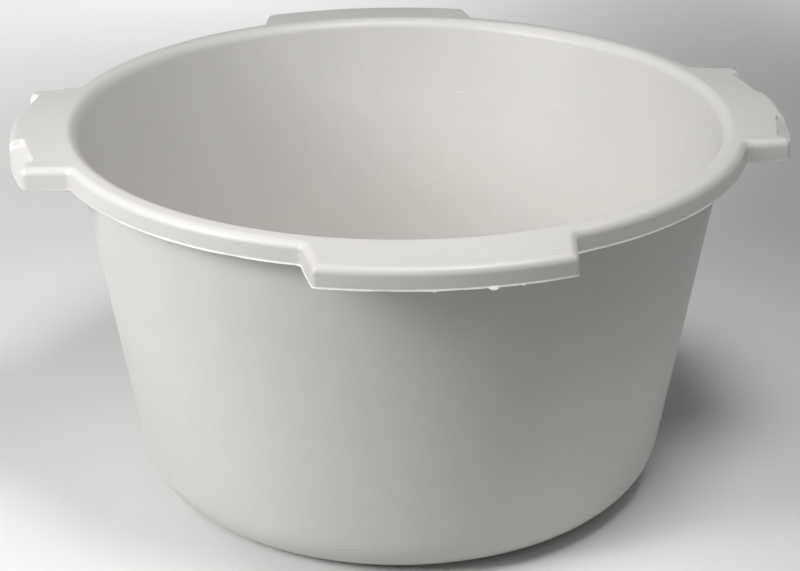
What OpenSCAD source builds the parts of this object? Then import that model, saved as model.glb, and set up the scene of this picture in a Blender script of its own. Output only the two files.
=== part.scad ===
/* [Size] */
// Radius of the rim skirt at its lower edge
rim_r = 140; // [136:1:150]
// Overall height, from the foot ring to the crest of the rim
pan_h = 155; // [140:1:170]
// Plain wall thickness of the moulding
wall_t = 2.2; // [1.8:0.1:2.6]

/* [Bowl] */
// Lean of the bowl side from the vertical, in degrees
bowl_lean = 9.25; // [7:0.25:11]
// Radius of the bowl's outside at the level of the skirt's lower edge
neck_r = 130.8; // [130.4:0.2:131.2]
// Radius of the rounded corner between the side and the base, outside
corner_r = 22.4; // [16:0.2:24]
// Radius of the flat foot ring's inner edge
foot_r = 70; // [60:2:80]
// Depth of the recess inside the foot ring
foot_rise = 0.8; // [0.4:0.1:1.2]
// Height at which the base region ends and the side region begins
base_h = 24; // [24:1:30]

/* [Rim] */
// Depth of the rim skirt below the crest
skirt_h = 8.7; // [8:0.1:10]
// Radius of the crest's rounding on the side of the bowl
crest_r = 4.8; // [4:0.1:6]
// Radius of the rounding between the rim's top and its skirt
edge_r = 3.2; // [2.8:0.1:3.6]

/* [Lugs] */
// Radius of the lugs' outer edge
lug_r = 156.6; // [153:0.1:162]
// Half width of a lug where it leaves the rim
lug_root_w = 48.8; // [40:0.1:54]
// Taper of each side of a lug towards its tip, in degrees
lug_taper = 8; // [4:0.5:12]
// Depth of the lugs' skirts below the crest
lug_h = 9.4; // [9:0.1:11]
// Fall of the lugs' top from the rim to the tip
lug_fall = 1.2; // [0.4:0.1:1.6]
// Rounding of the lugs' outer corners, seen from above
lug_corner = 2.6; // [2.6:0.1:4]

/* [Notches] */
// Distance of the clockwise notch's middle from the middle of its lug
notch_cw = 29.8; // [27:0.1:30]
// Distance of the anticlockwise notch's middle from the middle of its lug
notch_ccw = 26; // [22:0.1:28]
// Length of a notch along the lug's edge
notch_len = 25.5; // [16:0.5:27]
// Reach of a notch inwards from the lug's edge
notch_in = 5.4; // [5:0.1:7]
// Depth of a notch at the lug's edge
notch_deep = 4; // [3:0.1:4.2]
// Height of the upright inner wall of a notch
notch_step = 1.6; // [1:0.1:2]

/* [Hidden] */
$fn = 96;
plastic = [0.80, 0.79, 0.76];
seam = 2;
over = 60;
arc_n = 5;
skirt_z = pan_h - skirt_h;
lug_z = pan_h - lug_h;
// outside radius of the bowl side at height z
function side_r(z) = neck_r + (z - skirt_z) * tan(bowl_lean);
// middle of the corner rounding
corner_z = corner_r;
corner_x = side_r(corner_z) - corner_r / cos(bowl_lean);
// middle of the crest rounding, which continues the bowl side without a step
crest_z = pan_h - crest_r;
crest_x = side_r(crest_z) + (crest_r - wall_t) / cos(bowl_lean);
// middle of the rim's outer rounding
edge_x = rim_r - edge_r;
edge_z = pan_h - edge_r;
// where a lug's sides meet the rim's skirt
root_x = sqrt(rim_r * rim_r - lug_root_w * lug_root_w);
tip_x = lug_r - edge_r;
tip_z = pan_h - lug_fall - edge_r;
lip = 0.1;
fall = atan(lug_fall / (tip_x - crest_x));
root_z = pan_h - lip - (rim_r - crest_x) * tan(fall);
notch_tilt = atan((notch_deep - notch_step) / notch_in);

// points on an arc, ends included
function arc(x, y, r, a0, a1) =
    [for (i = [0:arc_n]) let (a = a0 + (a1 - a0) * i / arc_n) [x + r * cos(a), y + r * sin(a)]];

// corners of a rounding drawn round an arc, its first and last edges run on by far
function round_off(x, y, r, a0, a1, far) =
    let (h = (a1 - a0) / arc_n / 2, b = a0 + h, c = a1 - h) concat(
        [[x + r * cos(b) + far * sin(b), y + r * sin(b) - far * cos(b)]],
        [for (i = [1:arc_n - 1]) let (a = a0 + 2 * h * i)
            [x + r / cos(h) * cos(a), y + r / cos(h) * sin(a)]],
        [[x + r * cos(c) - far * sin(c), y + r * sin(c) + far * cos(c)]]);

function back(p) = [for (i = [len(p) - 1:-1:0]) p[i]];

// the bowl's lower section, a distance t inside its outer surface
function base_line(t) = concat(
    [[0, foot_rise + t], [foot_r, foot_rise + t], [foot_r + 2 * foot_rise, t]],
    arc(corner_x, corner_z, corner_r - t, -90, -bowl_lean),
    [[side_r(base_h) - t / cos(bowl_lean), base_h]]);

// the rim's section, a distance t inside its outer surface
function rim_line(t) = concat(
    [[side_r(skirt_z) - (wall_t - t) / cos(bowl_lean), skirt_z]],
    arc(crest_x, crest_z, crest_r - t, 180 - bowl_lean, 90),
    arc(edge_x, edge_z, edge_r - t, 90, 0),
    [[rim_r - t, skirt_z]]);

// section of a lug along its middle, a distance t inside its outer surface
module lug_section(t) {
    low = lug_z - seam * sign(t);
    polygon(concat(
        [[crest_x, low], [crest_x, pan_h - lip - t]],
        arc(tip_x, tip_z, edge_r - t, 90 - fall, 0),
        [[lug_r - t, low]]));
}

// everything inside one side wall of a lug, with its top edge rounded
module lug_side(t) {
    w = lug_root_w - t;
    translate([root_x, 0, root_z]) rotate([0, 0, -lug_taper]) rotate([0, fall, 0])
        translate([-over, 0, 0]) rotate([90, 0, 90]) linear_extrude(height = 2 * over)
            intersection() {
                polygon(concat([[-2 * over, -over], [over, -over]],
                    round_off(lug_root_w - edge_r, -edge_r, edge_r - t, 0, 90, 2 * over)));
                translate([-2 * over, -over]) square([2 * over + w, 2 * over]);
            }
}

// cuts a lug's outer corner to its rounding, seen from above
module lug_corner_cut() {
    k = tan(lug_taper);
    reach = lug_r - lug_corner;
    b = lug_root_w + root_x * k - lug_corner / cos(lug_taper);
    x = (b * k + sqrt(reach * reach * (1 + k * k) - b * b)) / (1 + k * k);
    y = b - k * x;
    linear_extrude(height = 2 * pan_h) polygon(concat(
        round_off(x, y, lug_corner, atan2(y, x), 90 - lug_taper, 2 * lug_corner),
        [[x + over, y + over]]));
}

module lug_body(t) {
    intersection() {
        rotate_extrude($fn = 180) lug_section(t);
        lug_side(t);
        mirror([0, 1, 0]) lug_side(t);
    }
}

// scoop that opens the top edge of a lug, grown outwards by t
module notch(t) {
    intersection() {
        translate([lug_r - notch_in, 0, tip_z + edge_r - notch_step]) rotate([0, notch_tilt, 0])
            translate([-notch_in, -over, -t]) cube([over, 2 * over, over]);
        translate([lug_r - notch_in - t, -notch_len / 2 - t, 0]) cube([over, notch_len + 2 * t, 2 * pan_h]);
    }
}

module notches(t) {
    for (at = [-notch_cw, notch_ccw]) rotate([0, 0, asin(at / lug_r)]) notch(t);
}

module lug(notched) {
    difference() {
        lug_body(0);
        difference() {
            lug_body(wall_t);
            if (notched) notches(wall_t);
        }
        for (s = [0, 1]) mirror([0, s, 0]) lug_corner_cut();
        // the lug starts at the rim's own outer surface
        rotate_extrude($fn = 180) polygon(concat([[crest_x - over, skirt_z - seam]],
            [[crest_x - over, pan_h]], arc(edge_x, edge_z, edge_r, 90, 0),
            [[rim_r, skirt_z - seam]]));
        if (notched) notches(0);
    }
}

module bowl_base() {
    color(plastic) rotate_extrude() polygon(concat(base_line(0), back(base_line(wall_t))));
}

module bowl_side() {
    in = wall_t / cos(bowl_lean);
    color(plastic) rotate_extrude() polygon([
        [side_r(base_h), base_h], [side_r(skirt_z), skirt_z],
        [side_r(skirt_z) - in, skirt_z], [side_r(base_h) - in, base_h]]);
}

module rim() {
    color(plastic) difference() {
        rotate_extrude() polygon(concat(rim_line(0), back(rim_line(wall_t))));
        // the lugs' hollows run on into the hollow of the rim
        for (a = [0:90:270]) rotate([0, 0, a]) lug_body(wall_t);
    }
}

module lug_front() {
    color(plastic) rotate([0, 0, -90]) lug(false);
}

module lug_rear() {
    color(plastic) rotate([0, 0, 90]) lug(false);
}

module lug_left() {
    color(plastic) rotate([0, 0, 180]) lug(true);
}

module lug_right() {
    color(plastic) lug(true);
}

bowl_base();
bowl_side();
rim();
lug_front();
lug_rear();
lug_left();
lug_right();
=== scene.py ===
"""A light grey moulded commode pan: its looks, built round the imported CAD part. Lengths in mm until MM."""
import math

import bpy
import numpy as np
from mathutils import Matrix, Vector


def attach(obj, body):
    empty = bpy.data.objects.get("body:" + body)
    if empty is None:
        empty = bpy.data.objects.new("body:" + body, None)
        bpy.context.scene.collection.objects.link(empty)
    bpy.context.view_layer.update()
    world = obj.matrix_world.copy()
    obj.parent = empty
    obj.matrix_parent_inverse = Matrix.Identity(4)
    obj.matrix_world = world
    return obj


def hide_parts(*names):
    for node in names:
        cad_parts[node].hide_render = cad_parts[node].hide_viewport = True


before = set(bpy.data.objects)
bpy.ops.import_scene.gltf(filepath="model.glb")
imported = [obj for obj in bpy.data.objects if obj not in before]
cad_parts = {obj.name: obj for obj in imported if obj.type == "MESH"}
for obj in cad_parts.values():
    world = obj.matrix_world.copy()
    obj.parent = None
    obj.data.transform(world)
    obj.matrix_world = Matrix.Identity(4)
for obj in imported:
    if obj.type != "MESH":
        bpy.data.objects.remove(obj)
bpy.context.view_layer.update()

MM = 0.001
LUGS = {"front": -90.0, "right": 0.0, "rear": 90.0, "left": 180.0}

# the moulding, as in the CAD part
RIM_R = 140.0
HEIGHT = 155.0
WALL = 2.2
LEAN = math.radians(9.25)
NECK_R = 130.85
SKIRT_Z = 146.3
LUG_SKIRT_Z = 145.6
CORNER_R = 22.4
FOOT_R = 70.0
FOOT_RISE = 0.8
BASE_H = 24.0
CREST_R = 4.8
EDGE_R = 3.2
LUG_R = 156.4
LUG_ROOT_W = 48.8
LUG_TAPER = math.radians(8.0)
LUG_FALL = 1.2
DRAFT = math.radians(1.5)
ROOT_FILLET = 3.0
# corner radii of each lug from above, clockwise end first, and how far its sides are moved out at each end
CORNERS = {"front": (2.3, 2.3), "right": (2.8, 1.1), "rear": (2.3, 2.3), "left": (1.1, 3.0)}
WIDENED = {"left": (2.0, 0.0)}
# the rounding along the top edge narrows to this between a side lug's rear notch and its corner
EAR_R, EARS, EAR_SPAN = 1.5, {"left": -1, "right": 1}, (39.0, 41.5)
# beyond this distance from the pan's axis a lug's outline is its tip
TIP_FROM = 147.0
# stands for no corner in the outline's columns of corner radii
NO_CORNER = 1e6
# the side lugs are warped up a little at their tips
LUG_LIFT = {"left": 0.45, "right": 0.25}
# the notches of each side lug: both ends along the lug, anticlockwise from its middle, with the radius of the
# inner wall at each end, and the height of the floor's outer edge at each end
NOTCHES = {"left": ((-42.8, -17.5, 151.7, 152.6, 149.8, 149.6), (13.0, 39.0, 149.9, 149.2, 149.8, 149.8)),
           "right": ((-42.8, -17.5, 150.6, 151.6, 151.2, 149.9), (13.0, 39.0, 151.2, 151.5, 149.5, 150.0))}
NOTCH_RAMP, NOTCH_WALL, NOTCH_STEP, NOTCH_ROUND, PLAIN_R = 0.9, 0.35, 1.7, 1.1, 150.6
# burrs left on the front lug's lower edge: place along the lug, half length, depth
BURRS = ((15.6, 1.8, 0.85), (-4.9, 0.7, 0.4), (26.0, 0.6, 0.35))


def side_r(z):
    return NECK_R + (z - SKIRT_Z) * math.tan(LEAN)


CORNER_X = side_r(CORNER_R) - CORNER_R / math.cos(LEAN)
CREST_Z = HEIGHT - CREST_R
CREST_X = side_r(CREST_Z) + (CREST_R - WALL) / math.cos(LEAN)
TIP_X = LUG_R - EDGE_R
FALL = LUG_FALL / (TIP_X - CREST_X)


def smooth(x, a, b):
    t = np.clip((x - a) / (b - a), 0, 1)
    return t * t * (3 - 2 * t)


# ---------------------------------------------------------------- outline of rim and lugs, from above
def lug_half(rc, widened):
    """Points and outward normals from the middle of a lug to half way to the next one, lug along +X."""
    t = LUG_TAPER
    root_x = math.sqrt(RIM_R ** 2 - LUG_ROOT_W ** 2)
    line = root_x * math.sin(t) + LUG_ROOT_W * math.cos(t) + widened      # x sin t + y cos t along the side
    # middle of the corner rounding: inside the side by rc and inside the tip by rc
    b, k, reach = (line - rc) / math.cos(t), math.tan(t), LUG_R - rc
    xc = (b * k + math.sqrt(reach ** 2 * (1 + k * k) - b * b)) / (1 + k * k)
    yc = b - k * xc
    # middle of the root fillet: outside the side and outside the rim by its radius
    b, reach = (line + ROOT_FILLET) / math.cos(t), RIM_R + ROOT_FILLET
    xf = (b * k + math.sqrt(reach ** 2 * (1 + k * k) - b * b)) / (1 + k * k)
    yf = b - k * xf
    a0, a1 = math.atan2(yc, xc), math.pi / 2 - t
    # for insets deeper than the corner's radius: the way out to its mitre, its radius and the mitre's lead
    mid, lead = (a0 + a1) / 2, 1 / math.cos((a1 - a0) / 2)
    corner = (math.cos(mid), math.sin(mid), rc, lead)
    plain = (0.0, 0.0, NO_CORNER, 1.0)
    out = []
    s_end = LUG_R * math.sin(a0)
    s = set(np.round(np.linspace(0, s_end, 30), 3))
    for edge in {abs(e) for spans in NOTCHES.values() for span in spans for e in span[:2]}:
        s |= set(np.round(np.linspace(edge - NOTCH_RAMP, edge + NOTCH_RAMP, 7), 3))
    for at, wide, _ in BURRS:
        s |= set(np.round(np.abs(np.linspace(at - 1.2 * wide, at + 1.2 * wide, 9)), 3))
    s = sorted(v for v in s if v < s_end - 0.15) + [s_end]
    keep = [s[0]]
    for v in s[1:]:
        if v - keep[-1] > 0.12:
            keep.append(v)
    for v in keep:
        a = math.asin(v / LUG_R)
        out.append((LUG_R * math.cos(a), LUG_R * math.sin(a), math.cos(a), math.sin(a), *plain))
    out[-1] = (*out[-1][:4], *corner)
    for a in np.linspace(a0, a1, 12)[1:]:
        out.append((xc + rc * math.cos(a), yc + rc * math.sin(a), math.cos(a), math.sin(a), *corner))
    sx, sy = out[-1][:2]
    ex, ey = xf - ROOT_FILLET * math.cos(a1), yf - ROOT_FILLET * math.sin(a1)
    for f in np.linspace(0, 1, 9)[1:]:
        out.append((sx + (ex - sx) * f, sy + (ey - sy) * f, math.cos(a1), math.sin(a1), *plain))
    af = math.atan2(yf, xf)
    for a in np.linspace(a1, af, 9)[1:]:
        nx, ny = math.cos(a), math.sin(a)
        out.append((xf - ROOT_FILLET * nx, yf - ROOT_FILLET * ny, nx, ny, *plain))
    root = len(out) - 1
    for a in np.linspace(af, math.pi / 4, 17)[1:]:
        out.append((RIM_R * math.cos(a), RIM_R * math.sin(a), math.cos(a), math.sin(a), *plain))
    return np.array(out), root


def outline():
    """The whole closed outline, anticlockwise from half way before the front lug."""
    spans, pts, lug_s, notch, first = {}, [], [], [], 0
    for name, deg in LUGS.items():
        (before, root_before), (after, root_after) = [
            lug_half(rc, wide) for rc, wide in zip(CORNERS[name], WIDENED.get(name, (0.0, 0.0)))]
        mirrored = before[::-1] * [1, -1, 1, -1, 1, -1, 1, 1]
        one = np.concatenate([mirrored[:-1], after[:-1]])       # the last point starts the next lug
        middle = first + len(before) - 1
        first += len(one)
        a = math.radians(deg)
        turn = np.array([[math.cos(a), math.sin(a)], [-math.sin(a), math.cos(a)]])
        pts.append(np.concatenate([one[:, k:k + 2] @ turn for k in (0, 2, 4)] + [one[:, 6:]], 1))
        spans[name] = (middle - root_before, middle + root_after)
        lug_s.append(one[:, 1])
        w, inner, low = np.zeros(len(one)), np.full(len(one), PLAIN_R), np.full(len(one), 150.0)
        for lo, hi, r_lo, r_hi, z_lo, z_hi in NOTCHES.get(name, ()):
            at = one[:, 1]
            on = smooth(at, lo - NOTCH_RAMP, lo + NOTCH_RAMP)
            on = on * (1 - smooth(at, hi - NOTCH_RAMP, hi + NOTCH_RAMP)) * (one[:, 0] > TIP_FROM)
            w = w + on
            f = np.clip((at - lo) / (hi - lo), 0, 1)
            near = smooth(at, lo - 4, lo) * (1 - smooth(at, hi, hi + 4)) * (one[:, 0] > RIM_R)
            turned = NOTCH_ROUND * (np.exp(-np.clip(at - lo, 0, None)) + np.exp(-np.clip(hi - at, 0, None)))
            inner = inner + near * (r_lo + (r_hi - r_lo) * f - PLAIN_R + turned)
            low = np.where((at > lo - 2) & (at < hi + 2), z_lo + (z_hi - z_lo) * f, low)
        ear = smooth(one[:, 1] * EARS.get(name, 0), *EAR_SPAN) * smooth(one[:, 0], 141, TIP_FROM)
        notch.append(np.stack([w, inner, low, np.full(len(one), LUG_LIFT.get(name, 0.0)), ear], 1))
    return np.concatenate(pts), spans, np.concatenate(lug_s), np.concatenate(notch)


OUT, SPANS, LUG_S, NOTCH = outline()
NOTCH_W, NOTCH_R, NOTCH_LOW, LIFT, EAR = NOTCH.T
NU = len(OUT)
P, N, MITRE, CORNER_RC, LEAD = OUT[:, :2], OUT[:, 2:4], OUT[:, 4:6], OUT[:, 6], OUT[:, 7]
THETA = np.arctan2(P[:, 1], P[:, 0])
RADIAL = np.stack([np.cos(THETA), np.sin(THETA)], 1)
# 1 on a lug, 0 on the rim, changing along the lug's side
ON_LUG = smooth(np.hypot(P[:, 0], P[:, 1]), RIM_R + 0.5, RIM_R + 5)
BOTTOM = SKIRT_Z + (LUG_SKIRT_Z - SKIRT_Z) * ON_LUG


# how far the skirt's face leans in at the top
FACE_TOP = (HEIGHT - SKIRT_Z) * math.tan(DRAFT)
# rows from the crest (0) to the outer rounding (1); rim and lug meet at SPLIT_T,
# and T_WALL is the inner wall of the notches
SPLIT_T, T_WALL = .28, .85
SHELF_T = [0, .1, SPLIT_T, .45, .62, .75, .81, .84, T_WALL, .856, .863, .87, .89, .92, .955, 1.0]


# ---------------------------------------------------------------- rows of the section, all the way round
rows, marks = [], {}


def ring(r, z):
    rows.append(np.column_stack([RADIAL * r, np.full(NU, z) if np.isscalar(z) else z]))


def inset(d):
    """The outline moved in by d, with its lug corners kept from folding over."""
    d = np.broadcast_to(d, (NU,))
    held = np.minimum(d, CORNER_RC * 0.98)
    return P - N * held[:, None] - MITRE * ((d - held) * LEAD)[:, None]


def off(a, z):
    """A row at distance a outside the outline, at height z."""
    rows.append(np.column_stack([inset(-np.asarray(a)), np.broadcast_to(z, (NU,))]))


def mark(name):
    marks[name] = len(rows) - 1


def top_z(xy):
    return HEIGHT - FALL * np.clip(np.hypot(xy[:, 0], xy[:, 1]) - CREST_X, 0, None)


def notched(xyz, down):
    """Lowers points into the notches; down is how far below the outer surface they lie."""
    r = np.hypot(xyz[:, 0], xyz[:, 1]) + down * 0.3
    top = HEIGHT - FALL * (NOTCH_R - CREST_X)
    uncut = FALL * np.clip(NOTCH_R - r, 0, None) + (r < NOTCH_R)
    foot = NOTCH_R + NOTCH_WALL
    slope = (top - NOTCH_STEP - NOTCH_LOW) / (LUG_R - foot)
    wall = NOTCH_STEP * np.clip((r - NOTCH_R) / NOTCH_WALL, 0, 1)
    floor = top + uncut - wall - slope * np.clip(r - foot, 0, None)
    z = xyz[:, 2]
    return np.column_stack([xyz[:, :2], z - NOTCH_W * np.clip(z - floor + down, 0, None)])


def shelf(t, down):
    """A row between the crest's circle (t = 0) and the start of the outer rounding (t = 1)."""
    inner = RADIAL * CREST_X
    outer = inset((WALL + IN_ROUND if down else ROUND) + FACE_TOP)
    # a row of its own follows the inner wall of the notches
    reach = np.hypot(outer[:, 0], outer[:, 1]) - CREST_X
    bend = np.clip((NOTCH_R - CREST_X) / reach, 0.5, 0.98)
    bend = T_WALL + (bend - T_WALL) * ON_LUG
    u = np.where(t < T_WALL, t / T_WALL * bend, bend + (t - T_WALL) / (1 - T_WALL) * (1 - bend))
    xy = inner + (outer - inner) * u[:, None]
    rows.append(notched(np.column_stack([xy, top_z(xy) - down]), down))


# radii of the top edge's rounding, outside and inside, and the height where the outer one ends
ROUND = EDGE_R + (EAR_R - EDGE_R) * EAR
IN_ROUND = np.maximum(ROUND - WALL, 0.3)
EDGE_Z = top_z(inset(ROUND)) - ROUND

# outside of the bowl, from the middle of the base
for r in (0.0, 4, 12, 25, 40, 55, 66):
    ring(r, FOOT_RISE)
ring(FOOT_R - 0.2, FOOT_RISE - 0.02)
ring(FOOT_R + 0.3, FOOT_RISE - 0.2)
ring(FOOT_R + 1.3, 0.2)
ring(FOOT_R + 1.9, 0.02)
for r in (FOOT_R + 2.5, 78, 84, CORNER_X):
    ring(r, 0.0)
for a in np.linspace(-90, -math.degrees(LEAN), 17)[1:]:
    a = math.radians(a)
    ring(CORNER_X + CORNER_R * math.cos(a), CORNER_R + CORNER_R * math.sin(a))
ring(side_r(20), 20.0)
ring(side_r(BASE_H), BASE_H)
mark("base_out")
for z in np.linspace(BASE_H, SKIRT_Z, 15)[1:]:
    ring(side_r(z), z)
mark("neck_out")
# hollow of the rim and lugs
for a in np.linspace(180 - math.degrees(LEAN), 90, 8)[:-1]:
    a = math.radians(a)
    ring(CREST_X + (CREST_R - WALL) * math.cos(a), CREST_Z + (CREST_R - WALL) * math.sin(a))
for t in SHELF_T:
    shelf(t, WALL)
    if t == SPLIT_T:
        mark("split_under")
for a in np.linspace(90, 0, 6)[1:]:
    a = math.radians(a)
    off(-WALL - FACE_TOP - IN_ROUND * (1 - math.cos(a)), EDGE_Z + ROUND - WALL - IN_ROUND * (1 - math.sin(a)))
    rows[-1] = notched(rows[-1], WALL)
for f in (0.25, 0.6, 0.9):
    off(-WALL - FACE_TOP * (1 - f), EDGE_Z + (BOTTOM - EDGE_Z) * f)
    rows[-1] = notched(rows[-1], WALL)
off(-WALL + 0.02, BOTTOM + 0.3)
off(-WALL + 0.3, BOTTOM)
# lower edge, with its thin lip of flash
ripple = np.sin(7 * THETA + 1) * np.sin(23 * THETA) + np.sin(61 * THETA + 2) * np.sin(17 * THETA)
LIP = np.clip(0.14 + 0.05 * ripple, 0.05, 0.2)
BURR = np.zeros(NU)
front = np.arange(SPANS["front"][0], SPANS["front"][1] + 1)
for at, wide, deep in BURRS:
    BURR[front] += deep * np.clip(1 - ((LUG_S[front] - at) / wide) ** 2, 0, None) ** 0.7
BURR *= ON_LUG * (P[:, 1] < -150)
# the burrs reach outwards too, as far as the lug's own circle leaves room
REACH = LIP + np.minimum(BURR, np.clip(P[:, 1] + LUG_R, 0, None)) * 0.8
off(-0.5, BOTTOM)
off(LIP - 0.25, BOTTOM - LIP - BURR * 0.8)
off(REACH, BOTTOM - LIP - BURR + 0.03)
off(REACH, BOTTOM - LIP - BURR * 0.6 + 0.15)
mark("lip")
off(-0.02, BOTTOM + 0.32)
# outer face of the skirt
for f in (0.1, 0.35, 0.65, 0.85, 0.93, 1.0):
    off(-FACE_TOP * f, EDGE_Z * f + (BOTTOM + 0.32) * (1 - f))
    rows[-1] = notched(rows[-1], 0.0)
for a in np.linspace(0, 90, 13)[1:-1]:
    a = math.radians(a)
    off(-FACE_TOP - ROUND * (1 - math.cos(a)), EDGE_Z + ROUND * math.sin(a))
    rows[-1] = notched(rows[-1], 0.0)
for t in SHELF_T[::-1]:
    shelf(t, 0.0)
    if t == SPLIT_T:
        mark("split_top")
# crest and inside of the bowl
for a in np.linspace(90, 180 - math.degrees(LEAN), 15)[1:]:
    a = math.radians(a)
    ring(CREST_X + CREST_R * math.cos(a), CREST_Z + CREST_R * math.sin(a))
IN = WALL / math.cos(LEAN)
ring(side_r(SKIRT_Z) - IN, SKIRT_Z)
mark("neck_in")
for z in np.linspace(SKIRT_Z, BASE_H, 15)[1:]:
    ring(side_r(z) - IN, z)
mark("base_in")
ring(side_r(20) - IN, 20.0)
for a in np.linspace(-math.degrees(LEAN), -90, 17):
    a, r = math.radians(a), CORNER_R - WALL
    ring(CORNER_X + r * math.cos(a), CORNER_R + r * math.sin(a))
for r, rise in ((84, 0), (78, 0), (FOOT_R + 2.5, 0), (FOOT_R + 1.9, .02), (FOOT_R + 1.3, .2),
                (FOOT_R + 0.3, .6), (FOOT_R - 0.2, .78)):
    ring(r, WALL + rise)
for r in (66, 55, 40, 25, 12, 4, 0):
    ring(r, WALL + FOOT_RISE)

G = np.stack(rows)                                             # rows x around x 3
r_all = np.hypot(G[..., 0], G[..., 1])
tip = np.clip((r_all - CREST_X) / (LUG_R - CREST_X), 0, 1) * (G[..., 2] > SKIRT_Z - 2)
G[..., 2] += tip * LIFT * ON_LUG
NV = len(rows)

# ---------------------------------------------------------------- smooth normals of the whole surface
nxt = np.roll(np.arange(NU), -1)
A, B, C, D = G[:-1], G[:-1][:, nxt], G[1:][:, nxt], G[1:]
face_n = np.cross(C - A, D - B)
acc = np.zeros_like(G)
for rr in (slice(0, -1), slice(1, None)):
    acc[rr] += face_n
    acc[rr] += np.roll(face_n, 1, axis=1)
acc[0], acc[-1] = (0, 0, -1), (0, 0, 1)
# the rows may wind either way: the lip's normal has to point outwards
FLIP = acc[marks["lip"], 0, :2] @ RADIAL[0] < 0
if FLIP:
    acc = -acc
    acc[0], acc[-1] = (0, 0, -1), (0, 0, 1)
NORMALS = acc / np.maximum(np.linalg.norm(acc, axis=2, keepdims=True), 1e-12)

# whitening: the flash, only along the front, in its own pale colour and with a painted highlight where it
# catches the light; and the notches' faces
NOTCH_WEAR = 0.07
WEAR_AND_HIGHLIGHT = np.zeros((NV, NU))
# painted highlight: the lip's flash is whitened only where it faces the front, on top of its own paleness
for i in range(marks["lip"] - 3, marks["lip"] + 2):
    WEAR_AND_HIGHLIGHT[i] = 1 - smooth(P[:, 1], -110, -60)
in_notch = np.maximum(np.clip(NOTCH_W * 3, 0, 1), EAR * 0.8) * smooth(r_all, NOTCH_R - 0.3, NOTCH_R + 0.3)
upper = np.zeros((NV, 1))
upper[marks["lip"] + 4:marks["split_top"]] = 1
WEAR_AND_HIGHLIGHT = np.maximum(WEAR_AND_HIGHLIGHT, in_notch * upper * NOTCH_WEAR)


def piece(name, nodes, quads, polygons=()):
    """A closed mesh from the grid's quads, each named by its first corner, and from flat polygons."""
    index, verts, faces, loops, smooth_faces = {}, [], [], [], []

    def vert(i, j):
        j %= NU
        if i in (0, NV - 1):
            j = 0
        key = (i, j)
        if key not in index:
            index[key] = len(verts)
            verts.append(key)
        return index[key]

    def add(corners, surface):
        ids = [vert(*c) for c in corners]
        ids = [v for k, v in enumerate(ids) if v != ids[k - 1]]
        if len(ids) < 3:
            return
        faces.append(ids)
        smooth_faces.append(surface)
        pts = np.array([G[verts[v]] for v in ids])
        flat = np.cross(pts[1] - pts[0], pts[2] - pts[0])
        if len(ids) > 4 or not surface:
            flat = sum(np.cross(pts[k] - pts[0], pts[k + 1] - pts[0]) for k in range(1, len(ids) - 1))
        flat = flat / max(np.linalg.norm(flat), 1e-12)
        loops.extend([NORMALS[verts[v]] if surface else flat for v in ids])

    for i, j in quads:
        c = [(i, j), (i, j + 1), (i + 1, j + 1), (i + 1, j)]
        add(c[::-1] if FLIP else c, True)
    for poly in polygons:
        add(poly, False)
    mesh = bpy.data.meshes.new(name)
    mesh.from_pydata([tuple(G[v] * MM) for v in verts], [], faces)
    mesh.polygons.foreach_set("use_smooth", smooth_faces)
    cuts = {tuple(sorted(e)) for f, s in zip(faces, smooth_faces) if not s for e in zip(f, f[1:] + f[:1])}
    mesh.edges.foreach_set("use_edge_sharp", [tuple(sorted(e.vertices)) in cuts for e in mesh.edges])
    mesh.normals_split_custom_set([tuple(n) for n in loops])
    wear_and_highlight = mesh.attributes.new("wear_and_highlight", "FLOAT", "POINT")
    wear_and_highlight.data.foreach_set("value", [float(WEAR_AND_HIGHLIGHT[v]) for v in verts])
    inside = mesh.attributes.new("inside", "FLOAT", "POINT")
    inside.data.foreach_set("value", [float(v[0] >= marks["neck_in"]) for v in verts])
    mesh.validate()
    o = bpy.data.objects.new(name, mesh)
    bpy.context.scene.collection.objects.link(o)
    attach(o, "root")
    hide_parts(*nodes)
    return o


def band(i, k, turned=False):
    """Flat ring or strip between rows i and k, for all columns."""
    out = []
    for j in range(NU):
        c = [(i, j), (i, j + 1), (k, j + 1), (k, j)]
        out.append(c if not turned else c[::-1])
    return out


def cells(lo, hi, cols=None):
    return [(i, j) for i in range(lo, hi) for j in (range(NU) if cols is None else cols)]


m = marks
lug_cols = {n: list(range(a, b)) for n, (a, b) in SPANS.items()}
all_lug = {j for c in lug_cols.values() for j in c}
rest = [j for j in range(NU) if j not in all_lug]
pieces = []
pieces.append(piece("pan_base", ["bowl_base"], cells(0, m["base_out"]) + cells(m["base_in"], NV - 1),
                    band(m["base_out"], m["base_in"], not FLIP)))
pieces.append(piece("pan_side", ["bowl_side"],
                    cells(m["base_out"], m["neck_out"]) + cells(m["neck_in"], m["base_in"]),
                    band(m["base_out"], m["base_in"], FLIP) + band(m["neck_out"], m["neck_in"], not FLIP)))
under, top = m["split_under"], m["split_top"]
strips = [[(under, j), (under, j + 1), (top, j + 1), (top, j)] for j in sorted(all_lug)]
section = list(range(m["split_under"], m["split_top"] + 1))
ends = []
for a, b in SPANS.values():
    ends.append(([(i, a) for i in section], [(i, b) for i in section]))
rim_polys = band(m["neck_out"], m["neck_in"], FLIP)
rim_polys += [s[::-1] if FLIP else s for s in strips]
for lo, hi in ends:
    rim_polys += [lo[::-1] if FLIP else lo, hi if FLIP else hi[::-1]]
pieces.append(piece("pan_rim", ["rim"],
                    cells(m["neck_out"], m["split_under"]) + cells(m["split_top"], m["neck_in"])
                    + cells(m["split_under"], m["split_top"], rest), rim_polys))
for (name, cols), (lo, hi) in zip(lug_cols.items(), ends):
    polys = [[(under, j), (top, j), (top, j + 1), (under, j + 1)] for j in cols]
    polys = [c[::-1] if FLIP else c for c in polys]
    polys += [lo if FLIP else lo[::-1], hi[::-1] if FLIP else hi]
    pieces.append(piece("pan_lug_" + name, ["lug_" + name], cells(under, top, cols), polys))


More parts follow.
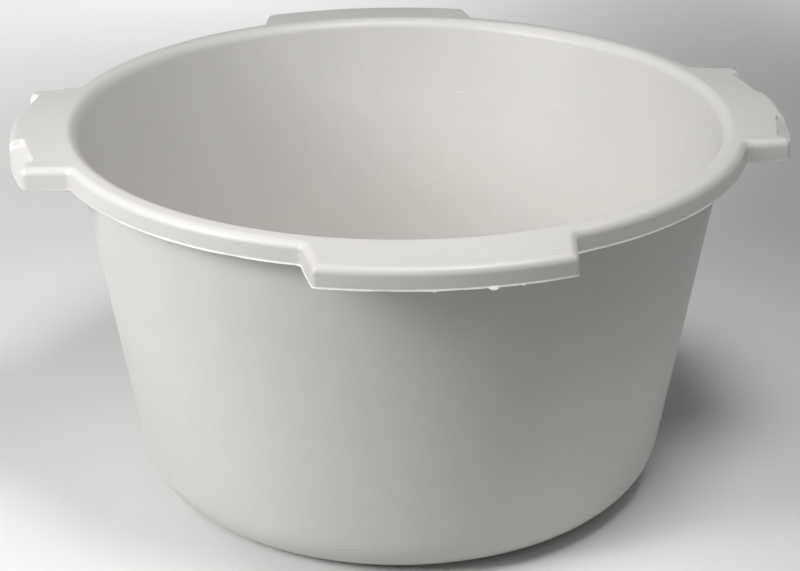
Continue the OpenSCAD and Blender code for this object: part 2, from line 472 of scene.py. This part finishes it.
# ---------------------------------------------------------------- material
# places of the small marks, in metres: the height of the scored line, the scuff on the rear lug,
# a dimple in one notch of the left lug and a nub in one of the right lug
SCORE_Z, SCUFF_AT = 0.12285, (0.038, 0.1425, 0.1545)
DIMPLE_AT, NUB_AT = (-0.1537, -0.0150, 0.1512), (0.1525, -0.0188, 0.1520)


class Nodes:
    """Short ways to add and link the shader nodes of one material."""

    def __init__(self, name):
        self.mat = bpy.data.materials.new(name)
        self.mat.use_nodes = True
        self.tree = self.mat.node_tree
        self.bsdf = self.tree.nodes["Principled BSDF"]
        self.pos = self.new("ShaderNodeTexCoord").outputs["Object"]

    def new(self, kind):
        return self.tree.nodes.new(kind)

    def put(self, value, socket):
        """Links a socket, or sets a constant."""
        if hasattr(value, "is_linked"):
            self.tree.links.new(value, socket)
        else:
            socket.default_value = value

    def noise(self, scale, detail=3.0, rough=0.5, vector=None):
        n = self.new("ShaderNodeTexNoise")
        self.put(vector or self.pos, n.inputs["Vector"])
        for k, v in (("Scale", scale), ("Detail", detail), ("Roughness", rough)):
            self.put(v, n.inputs[k])
        return n.outputs["Fac"]

    def remap(self, source, a, b, lo, hi):
        n = self.new("ShaderNodeMapRange")
        for k, v in (("Value", source), ("From Min", a), ("From Max", b), ("To Min", lo), ("To Max", hi)):
            self.put(v, n.inputs[k])
        return n.outputs["Result"]

    def mix(self, fac, a, b):
        n = self.new("ShaderNodeMix")
        n.data_type = "RGBA"
        for k, v in ((0, fac), (6, a), (7, b)):
            self.put(v, n.inputs[k])
        return n.outputs[2]

    def math(self, op, a, b=0.0, c=0.0):
        n = self.new("ShaderNodeMath")
        n.operation = op
        for k, v in enumerate((a, b, c)):
            self.put(v, n.inputs[k])
        return n.outputs[0]

    def times(self, a, b):
        return self.math("MULTIPLY", a, b)

    def attribute(self, name):
        n = self.new("ShaderNodeAttribute")
        n.attribute_name = name
        return n.outputs["Fac"]

    def distance(self, place):
        n = self.new("ShaderNodeVectorMath")
        n.operation = "DISTANCE"
        self.put(self.pos, n.inputs[0])
        self.put(place, n.inputs[1])
        return n.outputs["Value"]

    def specks(self, scale, size):
        """1 in sparse round specks that the surface happens to cut through."""
        n = self.new("ShaderNodeTexVoronoi")
        self.put(scale, n.inputs["Scale"])
        self.put(self.pos, n.inputs["Vector"])
        return self.remap(n.outputs["Distance"], size * 0.6 * scale, size * scale, 1, 0)


def speckled_grey(n):
    """Slightly uneven warm grey, with dark and light specks."""
    grey = n.mix(n.remap(n.noise(9, 2), .35, .65, 0, 1), (.600, .588, .560, 1), (.630, .617, .588, 1))
    grey = n.mix(n.remap(n.noise(140, 4, .6), .45, .75, 0, .25), grey, (.55, .545, .53, 1))
    grey = n.mix(n.times(n.specks(70, 0.00042), 0.45), grey, (.30, .29, .28, 1))
    return n.mix(n.times(n.specks(23, 0.00035), 0.6), grey, (.85, .85, .84, 1))


def scored_line(n):
    """1 along a faint line scored round part of the inside at one height, with a gap."""
    split = n.new("ShaderNodeSeparateXYZ")
    n.put(n.pos, split.inputs[0])
    x, y, z = split.outputs
    angle = n.times(n.math("ARCTAN2", y, x), math.degrees(1))
    line = n.remap(n.math("ABSOLUTE", n.math("SUBTRACT", z, SCORE_Z)), 0.0001, 0.00022, 1, 0)
    reach = n.times(n.remap(angle, 44, 46, 0, 1), n.remap(angle, 78, 80, 1, 0))
    gap = n.math("MAXIMUM", n.remap(angle, 56, 57.5, 1, 0), n.remap(angle, 62, 64, 0, 1))
    line = n.times(n.times(line, reach), n.times(gap, n.remap(n.noise(160, 3), .35, .6, .3, 1)))
    return n.times(line, n.attribute("inside"))


def scuff(n):
    """Stretched patches where the end of the rear lug's top is scuffed."""
    near = n.remap(n.distance(SCUFF_AT), 0.003, 0.0085, 1, 0)
    stretched = n.new("ShaderNodeMapping")
    n.put((1.0, 3.0, 1.0), stretched.inputs["Scale"])
    n.put(n.pos, stretched.inputs["Vector"])
    return n.times(near, n.remap(n.noise(240, 4, .6, stretched.outputs[0]), .5, .66, 0, .6))


def polypropylene():
    n = Nodes("polypropylene")
    line, wear_and_highlight_mask = scored_line(n), n.attribute("wear_and_highlight")
    dimple_and_its_shade = n.remap(n.distance(DIMPLE_AT), 0.0003, 0.0012, 1, 0)
    nub = n.remap(n.distance(NUB_AT), 0.0002, 0.0011, 1, 0)
    colour = n.mix(n.times(line, 0.28), speckled_grey(n), (.85, .85, .83, 1))
    colour = n.mix(scuff(n), colour, (.86, .86, .84, 1))
    # the notches' whitened faces, and the front flash's pale colour with its painted highlight
    patchy_wear_and_highlight = n.times(wear_and_highlight_mask, n.remap(n.noise(330, 4, .6), .3, .62, .55, 1))
    colour = n.mix(patchy_wear_and_highlight, colour, (.90, .90, .87, 1))
    # painted shade: the dimple's pit is coloured darker; the same mask also dents the bump below
    colour = n.mix(n.times(dimple_and_its_shade, 0.5), colour, (.52, .51, .49, 1))
    n.put(colour, n.bsdf.inputs["Base Color"])
    n.put(n.remap(n.noise(60, 4, .6), .3, .7, .38, .46), n.bsdf.inputs["Roughness"])
    dents = n.times(n.math("SUBTRACT", nub, dimple_and_its_shade), 3.0)
    grain = n.math("MULTIPLY_ADD", n.times(wear_and_highlight_mask, n.noise(900, 3, .6)), 3.0, n.noise(450, 3, .55))
    bump = n.new("ShaderNodeBump")
    n.put(0.12, bump.inputs["Strength"])
    n.put(0.0003, bump.inputs["Distance"])
    n.put(n.math("ADD", dents, n.math("MULTIPLY_ADD", line, 0.8, grain)), bump.inputs["Height"])
    n.put(bump.outputs["Normal"], n.bsdf.inputs["Normal"])
    n.bsdf.inputs["IOR"].default_value = 1.49
    return n.mat


plastic = polypropylene()
for o in pieces:
    o.data.materials.append(plastic)
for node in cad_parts.values():
    node.data.materials.clear()
    node.data.materials.append(plastic)

# ---------------------------------------------------------------- floor, light and camera
floor_mesh = bpy.data.meshes.new("floor")
FLOOR_HALF = 4.0
corners = [(-1, -1), (1, -1), (1, 1), (-1, 1)]
floor_mesh.from_pydata([(x * FLOOR_HALF, y * FLOOR_HALF, 0) for x, y in corners], [], [(0, 1, 2, 3)])
floor = bpy.data.objects.new("floor", floor_mesh)
bpy.context.scene.collection.objects.link(floor)
floor_mat = bpy.data.materials.new("floor")
floor_mat.use_nodes = True
fb = floor_mat.node_tree.nodes["Principled BSDF"]
fb.inputs["Base Color"].default_value = (.80, .80, .80, 1)
fb.inputs["Roughness"].default_value = .9
floor_mesh.materials.append(floor_mat)

world = bpy.data.worlds.new("studio")
bpy.context.scene.world = world
world.use_nodes = True
world.node_tree.nodes["Background"].inputs["Color"].default_value = (1, 1, 1, 1)
world.node_tree.nodes["Background"].inputs["Strength"].default_value = 0.15


def area(name, place, size, power, target=(0, 0, 0.1), spread=60):
    light = bpy.data.lights.new(name, "AREA")
    light.shape, light.size, light.energy, light.spread = "DISK", size, power, math.radians(spread)
    o = bpy.data.objects.new(name, light)
    o.location = place
    o.rotation_mode = "QUATERNION"
    o.rotation_quaternion = (Vector(target) - Vector(place)).to_track_quat("-Z", "Y")
    bpy.context.scene.collection.objects.link(o)


area("key_low", (-0.662, -0.295, 0.438), 0.3, 0.50)
area("key_high", (-0.490, -0.397, 0.593), 0.3, 0.22, spread=70)
area("top", (0.111, -0.250, 0.852), 0.3, 0.54)
area("floor_back_right", (0.9, 0.6, 0.6), 0.6, 6.0, (0.95, 0.75, 0), 90)
area("floor_back_left", (-0.9, 0.6, 0.6), 0.6, 6.5, (-0.85, 0.6, 0), 120)
area("floor_behind", (0.0, 1.0, 0.8), 0.4, 0.7, (0.0, 0.8, 0), 55)
area("floor_right", (0.8, -0.2, 0.5), 0.5, 1.1, (0.8, -0.125, 0), 90)

# the camera stands in front of the pan, turned 6 degrees from its front lug
TURN = math.radians(-6.037)
PITCH, ROLL, YAW = math.radians(23.865), math.radians(-0.111), math.radians(0.049)
FOCAL_PX, WIDE_PX = 2136.5, 800
CAM_BACK, CAM_UP, CAM_SIDE = 0.81900, 0.44098, -0.00080
fwd = np.array([math.sin(YAW) * math.cos(PITCH), math.cos(YAW) * math.cos(PITCH), -math.sin(PITCH)])
right = np.array([math.cos(YAW), -math.sin(YAW), 0.0])
up = np.cross(right, fwd)
right, up = (math.cos(ROLL) * right + math.sin(ROLL) * up, -math.sin(ROLL) * right + math.cos(ROLL) * up)
turn = np.array([[math.cos(TURN), -math.sin(TURN), 0], [math.sin(TURN), math.cos(TURN), 0], [0, 0, 1]])
right, up, back = turn @ right, turn @ up, turn @ -fwd
place = turn @ np.array([CAM_SIDE, -CAM_BACK, CAM_UP])
cam_data = bpy.data.cameras.new("camera")
cam_data.sensor_width = 36.0
cam_data.lens = FOCAL_PX * 36.0 / WIDE_PX
cam = bpy.data.objects.new("camera", cam_data)
bpy.context.scene.collection.objects.link(cam)
cam.matrix_world = Matrix([[right[i], up[i], back[i], place[i]] for i in range(3)] + [[0, 0, 0, 1]])
bpy.context.scene.camera = cam
bpy.context.scene.view_settings.view_transform = "Standard"
